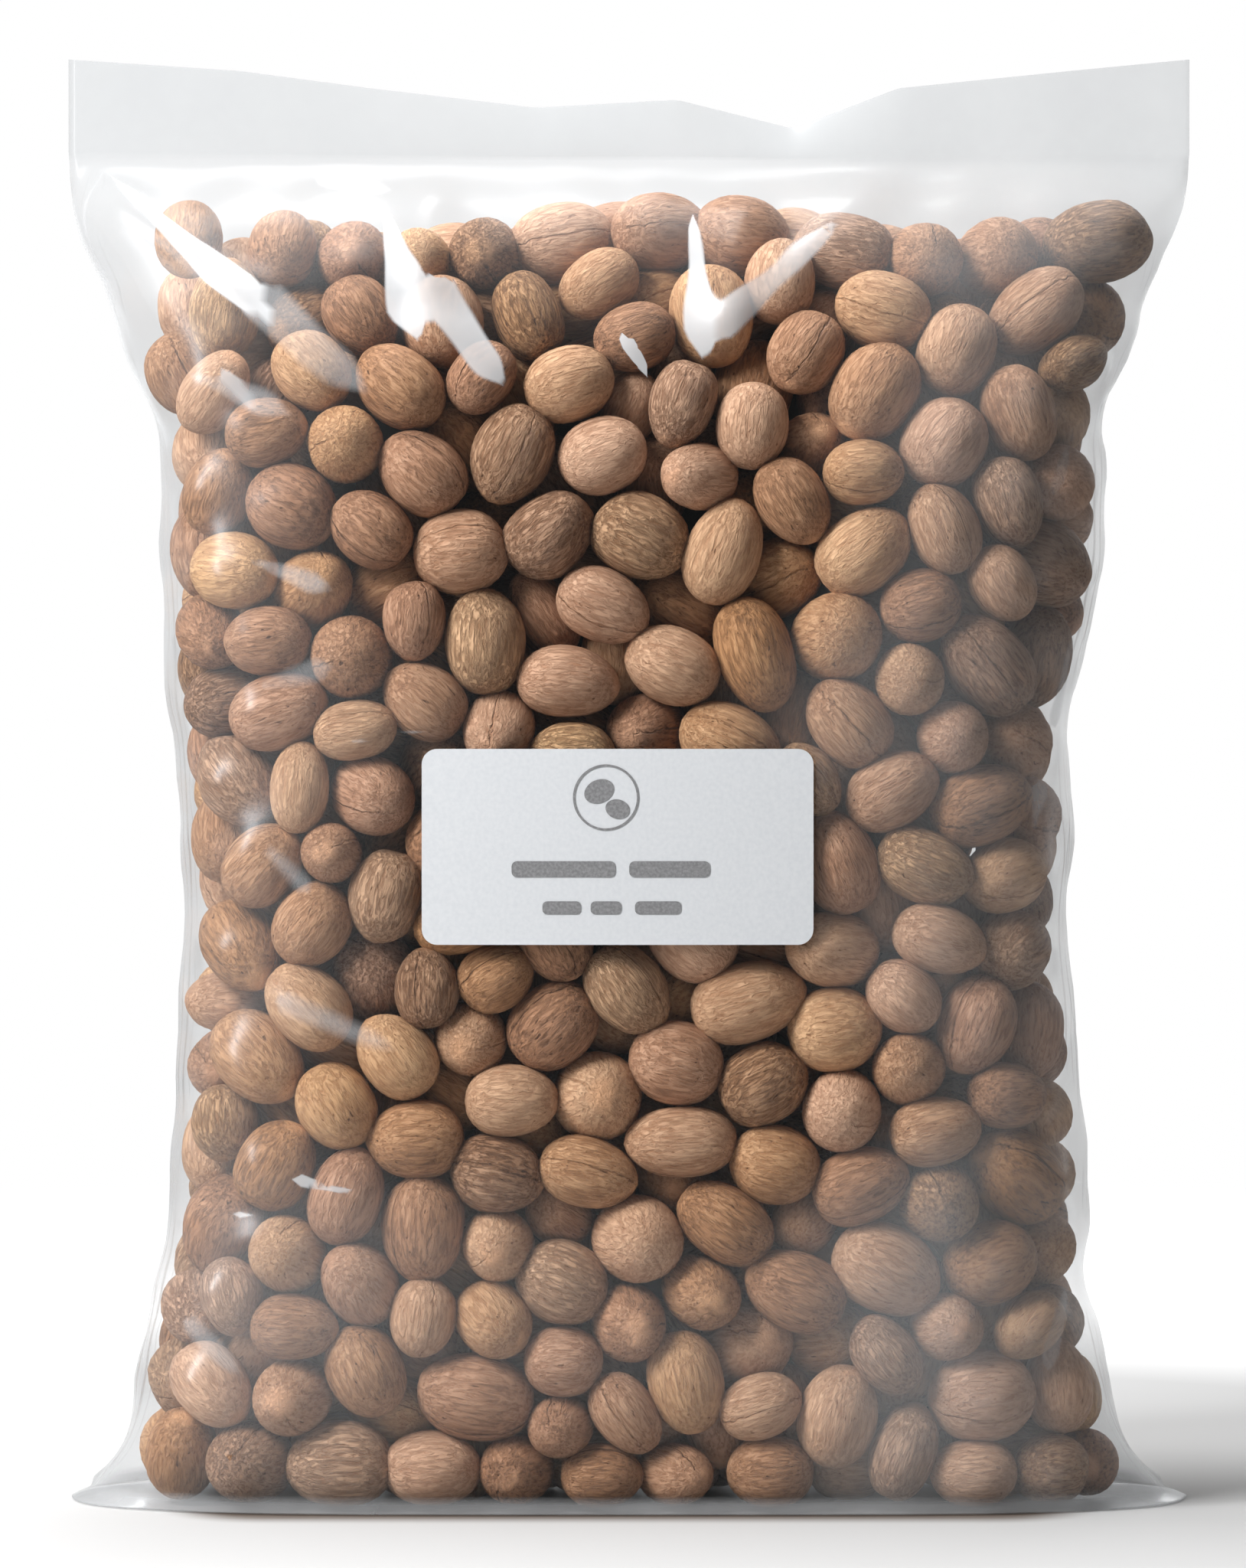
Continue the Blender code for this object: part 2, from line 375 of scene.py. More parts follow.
# Folds in the film: face (-1 front, 1 back), start and end along X and up, height, flanks
FOLDS = (
    (-1, (-0.146, 0.356), (-0.07, 0.292), 0.006, 0.003, 0.013),
    (-1, (-0.05, 0.35), (-0.052, 0.31), 0.005, 0.003, 0.013),
    (-1, (-0.056, 0.318), (-0.026, 0.288), 0.0045, 0.004, 0.01),
    (-1, (0.034, 0.348), (0.026, 0.298), 0.005, 0.003, 0.013),
    (-1, (0.022, 0.3), (0.074, 0.352), 0.0045, 0.01, 0.0035),
    (-1, (-0.002, 0.312), (0.004, 0.286), 0.003, 0.003, 0.006),
    (-1, (-0.112, 0.25), (-0.066, 0.222), 0.003, 0.003, 0.006),
    (-1, (-0.11, 0.17), (-0.055, 0.196), 0.003, 0.003, 0.006),
    (-1, (-0.112, 0.11), (-0.06, 0.12), 0.003, 0.003, 0.006),
    (-1, (-0.112, 0.07), (-0.072, 0.078), 0.003, 0.003, 0.006),
    (-1, (0.112, 0.235), (0.104, 0.15), 0.003, 0.004, 0.008),
    (-1, (0.12, 0.13), (0.08, 0.06), 0.003, 0.004, 0.008),
    (1, (0.118, 0.334), (0.07, 0.3), 0.003, 0.01, 0.008),
    (1, (-0.118, 0.334), (-0.08, 0.304), 0.003, 0.008, 0.01),
    (1, (0.02, 0.345), (0.0, 0.3), 0.003, 0.007, 0.01),
    (1, (-0.045, 0.34), (-0.03, 0.298), 0.003, 0.007, 0.009),
    (1, (0.108, 0.24), (0.07, 0.205), 0.003, 0.003, 0.007),
    (1, (-0.11, 0.18), (-0.07, 0.15), 0.003, 0.003, 0.007),
    (1, (0.09, 0.1), (0.04, 0.08), 0.003, 0.003, 0.007),
)

# Painted highlights where creased film would catch the lamps: face (-1 front, 1 back),
# start and end along X and up, half width at each, strength, softness of the edge
PAINTED_GLINTS = (
    (-1, (-0.147, 0.36), (-0.084, 0.304), 0.0002, 0.007, 0.86, 0.0012),
    (-1, (-0.1, 0.32), (-0.064, 0.289), 0.0085, 0.005, 0.36, 0.004),
    (-1, (-0.108, 0.3), (-0.094, 0.286), 0.0026, 0.002, 0.6, 0.001),
    (-1, (-0.0655, 0.347), (-0.054, 0.304), 0.0004, 0.009, 0.86, 0.0012),
    (-1, (-0.054, 0.323), (-0.029, 0.29), 0.0066, 0.0034, 0.8, 0.0014),
    (-1, (0.0165, 0.342), (0.02, 0.297), 0.0004, 0.0078, 0.86, 0.0012),
    (-1, (0.018, 0.305), (0.07, 0.352), 0.007, 0.0003, 0.6, 0.0018),
    (-1, (-0.002, 0.308), (0.006, 0.295), 0.0016, 0.0006, 0.8, 0.0004),
    (-1, (-0.084, 0.352), (-0.06, 0.347), 0.004, 0.003, 0.45, 0.003),
    (-1, (-0.12, 0.3), (-0.086, 0.286), 0.003, 0.0056, 0.4, 0.004),
    (-1, (-0.104, 0.251), (-0.074, 0.24), 0.0026, 0.005, 0.38, 0.003),
    (-1, (-0.098, 0.216), (-0.074, 0.222), 0.0036, 0.006, 0.34, 0.005),
    (-1, (-0.074, 0.202), (-0.049, 0.205), 0.003, 0.0006, 0.6, 0.0014),
    (-1, (-0.096, 0.176), (-0.08, 0.16), 0.0036, 0.006, 0.36, 0.005),
    (-1, (-0.094, 0.136), (-0.056, 0.12), 0.005, 0.0036, 0.34, 0.005),
    (-1, (-0.088, 0.088), (-0.068, 0.084), 0.002, 0.0006, 0.7, 0.0008),
    (-1, (-0.104, 0.078), (-0.088, 0.08), 0.0016, 0.0008, 0.6, 0.001),
    (-1, (-0.118, 0.052), (-0.098, 0.034), 0.0056, 0.004, 0.36, 0.005),
    (-1, (0.118, 0.233), (0.11, 0.2), 0.001, 0.0036, 0.42, 0.0016),
    (-1, (0.108, 0.192), (0.104, 0.172), 0.0036, 0.0008, 0.4, 0.0016),
    (-1, (0.116, 0.118), (0.096, 0.096), 0.003, 0.003, 0.26, 0.005),
    (-1, (0.117, 0.066), (0.108, 0.034), 0.0012, 0.0044, 0.4, 0.0018),
    (-1, (0.119, 0.29), (0.109, 0.262), 0.0012, 0.0034, 0.34, 0.002),
    (1, (0.122, 0.334), (0.082, 0.306), 0.001, 0.005, 0.8, 0.001),
    (1, (0.027, 0.336), (0.012, 0.304), 0.001, 0.006, 0.8, 0.0008),
    (1, (-0.048, 0.336), (-0.034, 0.302), 0.001, 0.0054, 0.8, 0.0008),
    (1, (-0.122, 0.334), (-0.096, 0.312), 0.0008, 0.004, 0.6, 0.0012),
    (1, (0.104, 0.23), (0.07, 0.214), 0.003, 0.004, 0.26, 0.005),
    (1, (-0.1, 0.17), (-0.07, 0.15), 0.003, 0.004, 0.26, 0.005),
    (1, (0.06, 0.1), (0.03, 0.092), 0.0022, 0.0006, 0.55, 0.001),
)


def section(left, right, depth, columns):
    """Points of a level section, evenly spaced round it from its +X end."""
    turn = np.linspace(0.0, 2.0 * math.pi, 4001)
    cosine = np.cos(turn)
    sine = np.sin(turn)
    reach = np.where(cosine < 0.0, left, right)
    x = reach * np.sign(cosine) * np.abs(cosine) ** (2.0 / SIDE_SQUARENESS)
    y = depth * np.sign(sine) * np.abs(sine) ** (2.0 / FACE_FLATNESS)
    walked = np.concatenate(([0.0], np.cumsum(np.hypot(np.diff(x), np.diff(y)))))
    wanted = np.linspace(0.0, walked[-1], columns + 1)[:-1]
    return np.stack((np.interp(wanted, walked, x), np.interp(wanted, walked, y)), axis=1)


def film_start():
    """The film before it is drawn in: rows of points round the tube, base to top edge."""
    tip = BAG_REACH - 0.0006
    rows = []
    kinds = []

    def add_row(flat, height, kind):
        rows.append(np.column_stack((flat, np.full(COLUMNS, height))))
        kinds.append(kind)

    left, right, depth = (float(value) for value in body_size(0.004))
    foot = section(left - 0.001, right - 0.001, depth - 0.001, COLUMNS)
    across = np.clip(np.abs(foot[:, 1]) / EAR_HALF_WIDTH, 0.0, 1.0)
    root = np.abs(foot[:, 0])
    ear_x = np.sign(foot[:, 0]) * np.maximum(root, tip - (tip - root) * across ** 1.2)
    ear = np.stack((ear_x, foot[:, 1]), axis=1)
    for share in (0.0, 0.35, 0.7, 0.9, 1.0):
        add_row(ear * (1.0, share), FILM_LIE, "base")
    for share, height in ((0.15, 0.0008), (0.4, 0.0013), (0.7, 0.0019), (1.0, 0.0030)):
        add_row(ear * (1.0 - share) + foot * share, height, "ear")
    body_rows = round((SEAL_HEIGHT - 0.006) / FILM_STEP)
    for height in np.linspace(0.0055, SEAL_HEIGHT, body_rows):
        left, right, depth = (float(value) for value in body_size(height))
        near_seal = float(smooth_step(height, SEAL_HEIGHT - 0.012, SEAL_HEIGHT))
        depth = depth * (1.0 - near_seal) + SEAL_DEPTH * near_seal
        add_row(section(left, right, depth, COLUMNS), height, "body")
    for share in np.linspace(0.0, 1.0, 13)[1:]:
        flat = section(BAG_REACH, BAG_REACH, SEAL_DEPTH, COLUMNS)
        dip = np.interp(flat[:, 0], *zip(*TOP_EDGE))
        z = SEAL_HEIGHT + share * (BAG_HEIGHT - SEAL_HEIGHT - dip)
        y = flat[:, 1] + TOP_LEAN * dip * share ** 1.5
        add_row(np.column_stack((flat[:, 0], y)), z, "header")
    return np.array(rows), np.array(kinds)


def nearest_nutmegs(points, middles, count):
    """For each film point, the nutmegs whose middles are nearest."""
    flat = points.reshape(-1, 3)
    chosen = np.empty((len(flat), count), dtype=np.int32)
    squares = np.sum(middles ** 2, axis=1)
    for start in range(0, len(flat), 4000):
        block = flat[start:start + 4000]
        apart = squares[None, :] - 2.0 * block @ middles.T
        chosen[start:start + 4000] = np.argpartition(apart, count, axis=1)[:, :count]
    return chosen


def keep_off_nutmegs(points, chosen, settled):
    """Push film points out to the skin of any nutmeg that they have sunk into."""
    middles, axes, lengths, widths = settled
    flat = points.reshape(-1, 3)
    for k in range(chosen.shape[1]):
        nut = chosen[:, k]
        away = flat - middles[nut]
        along = np.sum(away * axes[nut], axis=1)
        square = np.sum(away ** 2, axis=1)
        across = np.maximum(square - along ** 2, 0.0)
        level = along ** 2 / (lengths[nut] + FILM_GAP) ** 2
        level += across / (widths[nut] + FILM_GAP) ** 2
        level = np.sqrt(level) + 1e-9
        inside = level < 1.0
        flat[inside] = middles[nut][inside] + away[inside] / level[inside][:, None]
    return flat.reshape(points.shape)


def label_face(x, z):
    """The label's plane, bowed back a little towards its ends. Its front is at this Y."""
    side = (x - LABEL_MIDDLE.x) / 0.05
    up = (z - LABEL_MIDDLE.z) / 0.025
    return LABEL_LOW.y + 0.0007 * side ** 2 + 0.0002 * up ** 2


def under_label(points, margin):
    x, y, z = points[..., 0], points[..., 1], points[..., 2]
    beside = (x > LABEL_LOW.x - margin) & (x < LABEL_HIGH.x + margin)
    level = (z > LABEL_LOW.z - margin) & (z < LABEL_HIGH.z + margin)
    return beside & level & (y < 0.0)


def draw_in(points, kinds, settled, rounds=RELAX_ROUNDS):
    """Tighten the film over the nutmegs, holding its folds, seal and flat top."""
    free = (kinds == "body")[:, None] & np.ones(COLUMNS, dtype=bool)[None, :]
    free[np.nonzero(kinds == "body")[0][-1]] = False
    for fold in (0, COLUMNS // 2):
        for beside in (-1, 0, 1):
            free[:, (fold + beside) % COLUMNS] = False
    loose = free | (kinds == "ear")[:, None]
    for turn in range(rounds):
        if turn % 30 == 0:
            chosen = nearest_nutmegs(points, settled[0], 5)
        mean = (np.roll(points, 1, axis=1) + np.roll(points, -1, axis=1)) / 2.0
        up_down = points.copy()
        up_down[1:-1] = (points[:-2] + points[2:]) / 2.0
        target = 0.5 * mean + 0.5 * up_down
        pull = 0.75 - 0.72 * smooth_step(points[..., 2], AIR_LOW, AIR_HIGH)
        pull = np.where(free, pull, 0.0)[..., None]
        points = (1.0 - pull) * points + pull * target
        points = np.where(loose[..., None], keep_off_nutmegs(points, chosen, settled), points)
    return points


def film_normals(points):
    around = np.roll(points, -1, axis=1) - np.roll(points, 1, axis=1)
    up = np.gradient(points, axis=0)
    normals = np.cross(around, up)
    return normals / (np.linalg.norm(normals, axis=2)[..., None] + 1e-12)


def add_folds(points, kinds):
    """Raise creased folds and slack ripples where the film hangs free of the nutmegs."""
    out = film_normals(points)
    x, z = points[..., 0], points[..., 2]
    lift = np.zeros(x.shape)
    for face, start, end, height, above, below in FOLDS:
        run = np.subtract(end, start)
        length = math.hypot(*run)
        run = run / length
        along = ((x - start[0]) * run[0] + (z - start[1]) * run[1]) / length
        aside = (z - start[1]) * run[0] - (x - start[0]) * run[1]
        width = np.where(aside > 0.0, above, below)
        ends = np.clip(along * 5.0, 0.0, 1.0) * np.clip((1.0 - along) * 4.0, 0.0, 1.0)
        ridge = height * ends * np.exp(-np.abs(aside) / width)
        lift += np.where(points[..., 1] * face > 0.0, ridge, 0.0)
    slack = smooth_step(z, 0.285, 0.325)
    ripple = np.sin(x * 95.0 + 9.0 * np.sin(z * 41.0)) * np.sin(z * 120.0 + 5.0 * np.sin(x * 33.0))
    lift += slack * 0.0008 * ripple
    lift[kinds != "body"] = 0.0
    near_seal = smooth_step(SEAL_HEIGHT - z, 0.0, 0.008)
    lift = lift * near_seal
    for _ in range(4):
        beside = np.roll(lift, 1, axis=1) + np.roll(lift, -1, axis=1)
        lift[1:-1] = (2.0 * lift[1:-1] + beside[1:-1] + lift[:-2] + lift[2:]) / 6.0
    return points + out * lift[..., None]


def film_tube(points, kinds):
    """A tube with one vertex for each point, its base seam merged shut."""
    levels = len(points)
    bm = bmesh.new()
    bmesh.ops.create_cone(
        bm, cap_ends=False, segments=COLUMNS, radius1=1.0, radius2=1.0, depth=1.0,
    )
    uprights = [edge for edge in bm.edges if abs(edge.verts[0].co.z - edge.verts[1].co.z) > 0.5]
    bmesh.ops.subdivide_edges(bm, edges=uprights, cuts=levels - 2, use_grid_fill=True)
    fields = {"haze_and_painted_veil": film_haze_and_painted_veil(points, kinds), "from_fold": way_from_fold(points)}
    fields["painted_glint_inside"], fields["painted_glint_soft"], fields["painted_glint_strength"] = painted_glint_fields(points)
    layers = {name: bm.verts.layers.float.new(name) for name in fields}
    for vert in bm.verts:
        turn = math.atan2(vert.co.y, vert.co.x) / (2.0 * math.pi)
        column = round(turn * COLUMNS) % COLUMNS
        level = round((vert.co.z + 0.5) * (levels - 1))
        vert.co = points[level, column]
        for name, layer in layers.items():
            vert[layer] = fields[name][level, column]
    bmesh.ops.remove_doubles(bm, verts=bm.verts, dist=0.00001)
    bmesh.ops.recalc_face_normals(bm, faces=bm.faces)
    smooth_faces(bm)
    return bm


def way_from_fold(points):
    """Distance along each level row from the nearer side fold."""
    steps = np.linalg.norm(np.roll(points, -1, axis=1) - points, axis=2)
    walked = np.concatenate((np.zeros((len(points), 1)), np.cumsum(steps, axis=1)), axis=1)
    girth = walked[:, -1:]
    way = walked[:, :-1]
    half = walked[:, COLUMNS // 2:COLUMNS // 2 + 1]
    return np.minimum.reduce((way, np.abs(way - half), girth - way))


def painted_glint_fields(points):
    """Each film point's millimetres inside its nearest painted highlight patch, its softness, its
    strength.
    """
    x, y, z = points[..., 0], points[..., 1], points[..., 2]
    best = np.full(x.shape, -1e6)
    inside, soft, painted_highlight = np.full(x.shape, -20.0), np.ones(x.shape), np.zeros(x.shape)
    for face, start, end, first, last, strength, softness in PAINTED_GLINTS:
        run = np.subtract(end, start)
        length = math.hypot(*run)
        run = run / length
        along = ((x - start[0]) * run[0] + (z - start[1]) * run[1]) / length
        aside = np.abs((z - start[1]) * run[0] - (x - start[0]) * run[1])
        taper = smooth_step(along, 0.0, 0.12) * smooth_step(1.0 - along, 0.0, 0.30)
        width = (first + (last - first) * np.clip(along, 0.0, 1.0)) * taper
        beyond = np.maximum(np.maximum(-along, along - 1.0), 0.0) * length
        depth = np.where(y * face > 0.0, width - np.hypot(aside, beyond), -0.02)
        nearer = depth / softness > best
        best = np.where(nearer, depth / softness, best)
        inside = np.where(nearer, depth * 1000.0, inside)
        soft = np.where(nearer, softness * 1000.0, soft)
        painted_highlight = np.where(nearer, strength, painted_highlight)
    return np.clip(inside, -20.0, 20.0), soft, painted_highlight


def film_haze_and_painted_veil(points, kinds):
    """Milkiness of the film with a painted reflection veil: cloudy at the top, the foot and both
    sides, most at the right.
    """
    x, y, z = points[..., 0], points[..., 1], points[..., 2]
    wave = 0.012 * np.sin(z * 38.0) + 0.008 * np.sin(z * 90.0 + 1.3)
    right = smooth_step(x + wave, 0.035, 0.085)
    foot = 1.0 - smooth_step(z + 0.010 * np.sin(x * 30.0 + 1.0), 0.050, 0.105)
    ankle = smooth_step(z, 0.008, 0.045)
    shoulder = smooth_step(z, SEAL_HEIGHT - 0.060, SEAL_HEIGHT - 0.020)
    left = 1.0 - smooth_step(x - wave, -0.100, -0.045)
    # The milkiness added at the right, left, foot and shoulders is partly painted reflection, a
    # veil of light.
    haze_and_painted_veil = 0.006 + 0.185 * right + 0.080 * left + 0.080 * foot * ankle + 0.06 * shoulder
    fin = smooth_step(np.abs(x), 0.104, 0.124) * (1.0 - smooth_step(z, 0.255, 0.300))
    haze_and_painted_veil = haze_and_painted_veil * (1.0 - 0.6 * fin)
    haze_and_painted_veil = np.where((kinds == "header")[:, None], 0.22, haze_and_painted_veil)
    under = np.isin(kinds, ("base", "ear"))[:, None]
    rim = smooth_step(np.abs(y) + 0.3 * np.maximum(np.abs(x) - 0.10, 0.0), 0.020, 0.040)
    haze_and_painted_veil = np.where(under, 0.08 + 0.40 * rim, haze_and_painted_veil)
    return haze_and_painted_veil


def make_film(settled, finish):
    points, kinds = film_start()
    points = draw_in(points, kinds, settled)
    points = add_folds(points, kinds)
    points = draw_in(points, kinds, settled, rounds=3)
    points[..., 1] = np.where(
        under_label(points, 0.002),
        np.maximum(points[..., 1], label_face(points[..., 0], points[..., 2]) + UNDER_LABEL),
        points[..., 1],
    )
    points[..., 2] = np.maximum(points[..., 2], FILM_LIE)
    piece = add_piece("film", film_tube(points, kinds), finish)
    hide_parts("bag")


# The label ------------------------------------------------------------------------------

def make_label(finish):
    bm = bmesh.new()
    bmesh.ops.create_grid(bm, x_segments=1, y_segments=1, size=0.5)
    width = LABEL_HIGH.x - LABEL_LOW.x
    height = LABEL_HIGH.z - LABEL_LOW.z
    bmesh.ops.scale(bm, vec=(width, height, 1.0), verts=bm.verts)
    bmesh.ops.bevel(
        bm, geom=bm.verts, offset=LABEL_CORNER, offset_type="OFFSET", segments=8,
        profile=0.5, affect="VERTICES", material=-1,
    )
    for length, strips, across in ((width, 16, (1, 0, 0)), (height, 8, (0, 1, 0))):
        for step in range(1, strips):
            cut = Vector(across) * (-length / 2.0 + length * step / strips)
            geom = bm.verts[:] + bm.edges[:] + bm.faces[:]
            bmesh.ops.bisect_plane(bm, geom=geom, dist=1e-6, plane_co=cut, plane_no=across)
    for vert in bm.verts:
        x = LABEL_MIDDLE.x + vert.co.x
        z = LABEL_MIDDLE.z + vert.co.y
        vert.co = (x, label_face(x, z), z)
    bmesh.ops.recalc_face_normals(bm, faces=bm.faces)
    if bm.faces[0].normal.y > 0.0:
        bmesh.ops.reverse_faces(bm, faces=bm.faces)
    bmesh.ops.solidify(bm, geom=bm.faces[:], thickness=LABEL_THICK)
    bmesh.ops.recalc_face_normals(bm, faces=bm.faces)
    piece = add_piece("label_card", bm, finish)
    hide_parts("label")


def add_print_bar(bm, middle_x, middle_z, width, height, corner):
    """A flat bar of ink with round corners, just proud of the paper."""
    made = bmesh.ops.create_grid(bm, x_segments=1, y_segments=1, size=0.5)["verts"]
    bmesh.ops.scale(bm, vec=(width, height, 1.0), verts=made)
    result = bmesh.ops.bevel(
        bm, geom=made, offset=corner, offset_type="OFFSET", segments=4,
        profile=0.5, affect="VERTICES", material=-1,
    )
    stand_up(bm, result["verts"], middle_x, middle_z, 0.0)


def add_print_ring(bm, middle_x, middle_z, outer, inner):
    """A flat upright ring."""
    made = []
    for radius in (outer, inner):
        made += bmesh.ops.create_circle(bm, cap_ends=False, radius=radius, segments=48)["verts"]
    edges = list({edge for vert in made for edge in vert.link_edges})
    bmesh.ops.bridge_loops(bm, edges=edges)
    stand_up(bm, made, middle_x, middle_z, 0.0)


def add_print_oval(bm, middle_x, middle_z, half_length, half_width, lean):
    made = bmesh.ops.create_circle(bm, cap_ends=True, radius=1.0, segments=32)["verts"]
    bmesh.ops.scale(bm, vec=(half_length, half_width, 1.0), verts=made)
    stand_up(bm, made, middle_x, middle_z, lean)


def stand_up(bm, verts, middle_x, middle_z, lean):
    """Turn flat marks upright, lean them over and move them to their place."""
    upright = Matrix.Rotation(math.radians(90.0), 3, "X")
    turn = upright @ Matrix.Rotation(math.radians(lean), 3, "Z")
    bmesh.ops.rotate(bm, matrix=turn, verts=verts)
    bmesh.ops.translate(bm, vec=(middle_x, 0.0, middle_z), verts=verts)


def make_print(finish):
    """Plain marks where a label has its print: a ringed oval and two rows of bars."""
    bm = bmesh.new()
    emblem_x = LABEL_MIDDLE.x - 0.0030
    emblem_z = LABEL_MIDDLE.z + 0.0128
    add_print_ring(bm, emblem_x, emblem_z, 0.0086, 0.0080)
    add_print_oval(bm, emblem_x - 0.0018, emblem_z + 0.0016, 0.0040, 0.0030, 24.0)
    add_print_oval(bm, emblem_x + 0.0030, emblem_z - 0.0030, 0.0032, 0.0025, -15.0)
    for drop, height, corner, bars in PRINT_ROWS:
        for left, width in bars:
            bar_x = LABEL_MIDDLE.x + left + width / 2.0
            add_print_bar(bm, bar_x, LABEL_MIDDLE.z - drop, width, height, corner)
    for vert in bm.verts:
        vert.co.y = label_face(vert.co.x, vert.co.z) - PRINT_RISE
    bmesh.ops.recalc_face_normals(bm, faces=bm.faces)
    for face in bm.faces:
        if face.normal.y > 0.0:
            face.normal_flip()
    add_piece("label_print", bm, finish)


# Finishes --------------------------------------------------------------------------------

def new_material(name):
    material = bpy.data.materials.new(name)
    material.use_nodes = True
    tree = material.node_tree
    return material, tree, tree.nodes["Principled BSDF"]


def add_node(tree, kind, **settings):
    node = tree.nodes.new(kind)
    for key, value in settings.items():
        setattr(node, key, value)
    return node


def set_values(node, values):
    for socket, value in values.items():
        node.inputs[socket].default_value = value


def ramp(tree, stops):
    node = tree.nodes.new("ShaderNodeValToRGB")
    while len(node.color_ramp.elements) < len(stops):
        node.color_ramp.elements.new(0.5)
    for element, (place, colour) in zip(node.color_ramp.elements, stops):
        element.position = place
        element.color = (*colour, 1.0)
    return node


def math_node(tree, operation, first, second=None, third=None):
    node = tree.nodes.new("ShaderNodeMath")
    node.operation = operation
    for socket, value in zip(node.inputs, (first, second, third)):
        if value is None:
            continue
        if isinstance(value, (int, float)):
            socket.default_value = value
        else:
            tree.links.new(value, socket)
    return node.outputs[0]


def new_group(name, inputs, outputs):
    """A shader node group with the named sockets, and its two end nodes."""
    group = bpy.data.node_groups.new(name, "ShaderNodeTree")
    for socket, kind in inputs:
        group.interface.new_socket(name=socket, in_out="INPUT", socket_type=kind)
    for socket, kind in outputs:
        group.interface.new_socket(name=socket, in_out="OUTPUT", socket_type=kind)
    return group, group.nodes.new("NodeGroupInput"), group.nodes.new("NodeGroupOutput")


def stretched_noise(tree, vector, scale, along, detail, rough):
    """Noise drawn out along the nutmeg, from its blossom end to its stalk end."""
    stretch = add_node(tree, "ShaderNodeVectorMath", operation="MULTIPLY")
    stretch.inputs[1].default_value = (scale, scale, scale * along)
    tree.links.new(vector, stretch.inputs[0])
    node = add_node(tree, "ShaderNodeTexNoise")
    set_values(node, {"Scale": 1.0, "Detail": detail, "Roughness": rough, "Distortion": 0.55})
    tree.links.new(stretch.outputs["Vector"], node.inputs["Vector"])
    return node.outputs["Fac"]


def fade(tree, value, low, high):
    """0 at low, 1 at high, smooth between."""
    node = add_node(tree, "ShaderNodeMapRange", interpolation_type="SMOOTHSTEP")
    set_values(node, {"From Min": low, "From Max": high})
    tree.links.new(value, node.inputs["Value"])
    return node.outputs["Result"]


def nut_skin():
    """Skin of a nutmeg: fine lengthwise lines, flecks, a seam and a pale end."""
    number = "NodeSocketFloat"
    group, start, end = new_group(
        "nutmeg_skin",
        (("Place", "NodeSocketVector"), ("Tint", number), ("Line depth", number)),
        (("Tone", number), ("Pale end", number), ("Height", number)),
    )
    links = group.links
    spread = add_node(group, "ShaderNodeCombineXYZ")
    for socket, scale in zip(spread.inputs, (37.0, 91.0, 53.0)):
        links.new(math_node(group, "MULTIPLY", start.outputs["Tint"], scale), socket)
    shift = add_node(group, "ShaderNodeVectorMath", operation="ADD")
    links.new(start.outputs["Place"], shift.inputs[0])
    links.new(spread.outputs["Vector"], shift.inputs[1])
    own = shift.outputs["Vector"]
    lines = stretched_noise(group, own, 11.0, 0.23, 5.0, 0.64)
    broad = stretched_noise(group, own, 3.4, 0.35, 3.0, 0.55)
    blotch = stretched_noise(group, own, 1.1, 1.0, 2.0, 0.5)
    flecks = stretched_noise(group, own, 10.0, 0.42, 2.0, 0.5)
    line_share = fade(group, lines, 0.30, 0.62)
    fleck = fade(group, flecks, 0.34, 0.24)
    split = add_node(group, "ShaderNodeSeparateXYZ")
    links.new(start.outputs["Place"], split.inputs["Vector"])
    bend = math_node(group, "MULTIPLY_ADD", broad, 0.30, -0.15)
    off_seam = math_node(group, "ABSOLUTE", math_node(group, "ADD", split.outputs["Y"], bend))
    seam = fade(group, off_seam, 0.045, 0.0)
    seam = math_node(group, "MULTIPLY", seam, fade(group, split.outputs["X"], 0.1, 0.4))
    tone = math_node(group, "MULTIPLY_ADD", start.outputs["Tint"], 0.42, -0.22)
    tone = math_node(group, "MULTIPLY_ADD", blotch, 0.42, tone)
    tone = math_node(group, "MULTIPLY_ADD", broad, 0.26, tone)
    fine = math_node(group, "MULTIPLY", line_share, start.outputs["Line depth"])
    tone = math_node(group, "MULTIPLY_ADD", fine, 0.36, tone)
    tone = math_node(group, "MULTIPLY_ADD", fleck, -0.38, tone)
    tone = math_node(group, "MULTIPLY_ADD", seam, -0.22, tone)
    links.new(tone, end.inputs["Tone"])
    pale = fade(group, split.outputs["Z"], 0.86, 1.0)
    pale = math_node(group, "MULTIPLY", pale, fade(group, blotch, 0.35, 0.6))
    links.new(pale, end.inputs["Pale end"])
    height = math_node(group, "MULTIPLY_ADD", fleck, -0.5, fine)
    height = math_node(group, "MULTIPLY_ADD", seam, -1.3, height)
    links.new(math_node(group, "MULTIPLY_ADD", broad, 1.6, height), end.inputs["Height"])
    return group


# Browns of a nutmeg: furrows, middle, ridges and blossom end
PLAIN_BROWNS = (
    (0.095, 0.042, 0.020),
    (0.41, 0.216, 0.119),
    (0.77, 0.505, 0.330),
    (0.72, 0.41, 0.24),
)
WRINKLED_BROWNS = (
    (0.066, 0.029, 0.015),
    (0.31, 0.163, 0.090),
    (0.62, 0.400, 0.262),
    (0.62, 0.355, 0.205),
)

# Near-black painted shade of the core, standing in for nutmegs deep in shadow
CORE_PAINTED_SHADES = ((0.3, (0.010, 0.006, 0.004)), (0.7, (0.030, 0.018, 0.011)))
PAPER_WHITES = ((0.3, (0.575, 0.592, 0.615)), (0.7, (0.62, 0.634, 0.652)))
INK_GREYS = ((0.35, (0.16, 0.16, 0.165)), (0.75, (0.26, 0.26, 0.265)))

# Each nutmeg's colour is multiplied by one of these, from greyish to golden
NUT_HUES = (
    (0.10, (0.99, 0.955, 0.975)),
    (0.55, (1.0, 0.97, 0.92)),
    (1.0, (1.05, 0.985, 0.76)),
)


